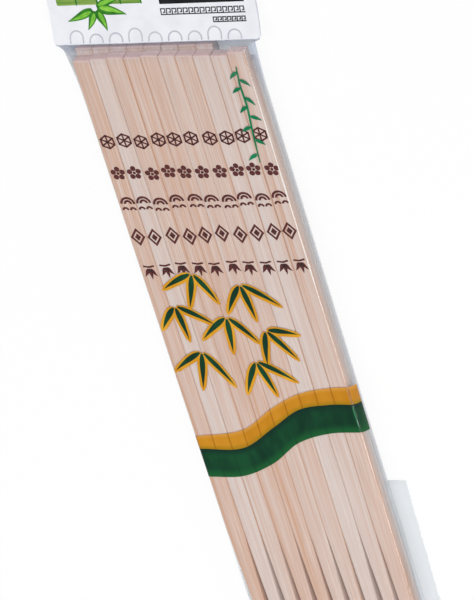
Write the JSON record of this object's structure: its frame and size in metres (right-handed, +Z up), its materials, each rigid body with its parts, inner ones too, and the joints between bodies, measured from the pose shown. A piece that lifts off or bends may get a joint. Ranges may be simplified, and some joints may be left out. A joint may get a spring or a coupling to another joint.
{
  "type": "bamboo chopsticks pack",
  "caption": "Pack of straight bamboo chopsticks with tapered round tips, lying in two rows in a clear film bag closed by a folded, stapled header card with a round hang hole.",
  "frame": {"origin": "bottom centre of the pack's box, the pack lying on its back", "axes": "+X across the rows, +Y along the sticks towards the header card, +Z up from the table"},
  "size_m": [0.0732, 0.2934, 0.0086],
  "materials": {
    "bamboo": "sanded, unvarnished",
    "clear_film": "clear glossy film",
    "white_card": "coated white card, satin",
    "staple_wire": "bright drawn wire"
  },
  "bodies": {
    "root": {"chopstick_front_01": "bamboo", "chopstick_front_02": "bamboo", "chopstick_front_03": "bamboo", "chopstick_front_04": "bamboo", "chopstick_front_05": "bamboo", "chopstick_front_06": "bamboo", "chopstick_front_07": "bamboo", "chopstick_front_08": "bamboo", "chopstick_front_09": "bamboo", "chopstick_front_10": "bamboo", "chopstick_back_01": "bamboo", "chopstick_back_02": "bamboo", "chopstick_back_03": "bamboo", "chopstick_back_04": "bamboo", "chopstick_back_05": "bamboo", "chopstick_back_06": "bamboo", "chopstick_back_07": "bamboo", "chopstick_back_08": "bamboo", "chopstick_back_09": "bamboo", "chopstick_back_10": "bamboo", "film_bag": "clear_film", "header_card": "white_card", "staples": "staple_wire"}
  },
  "joints": []
}
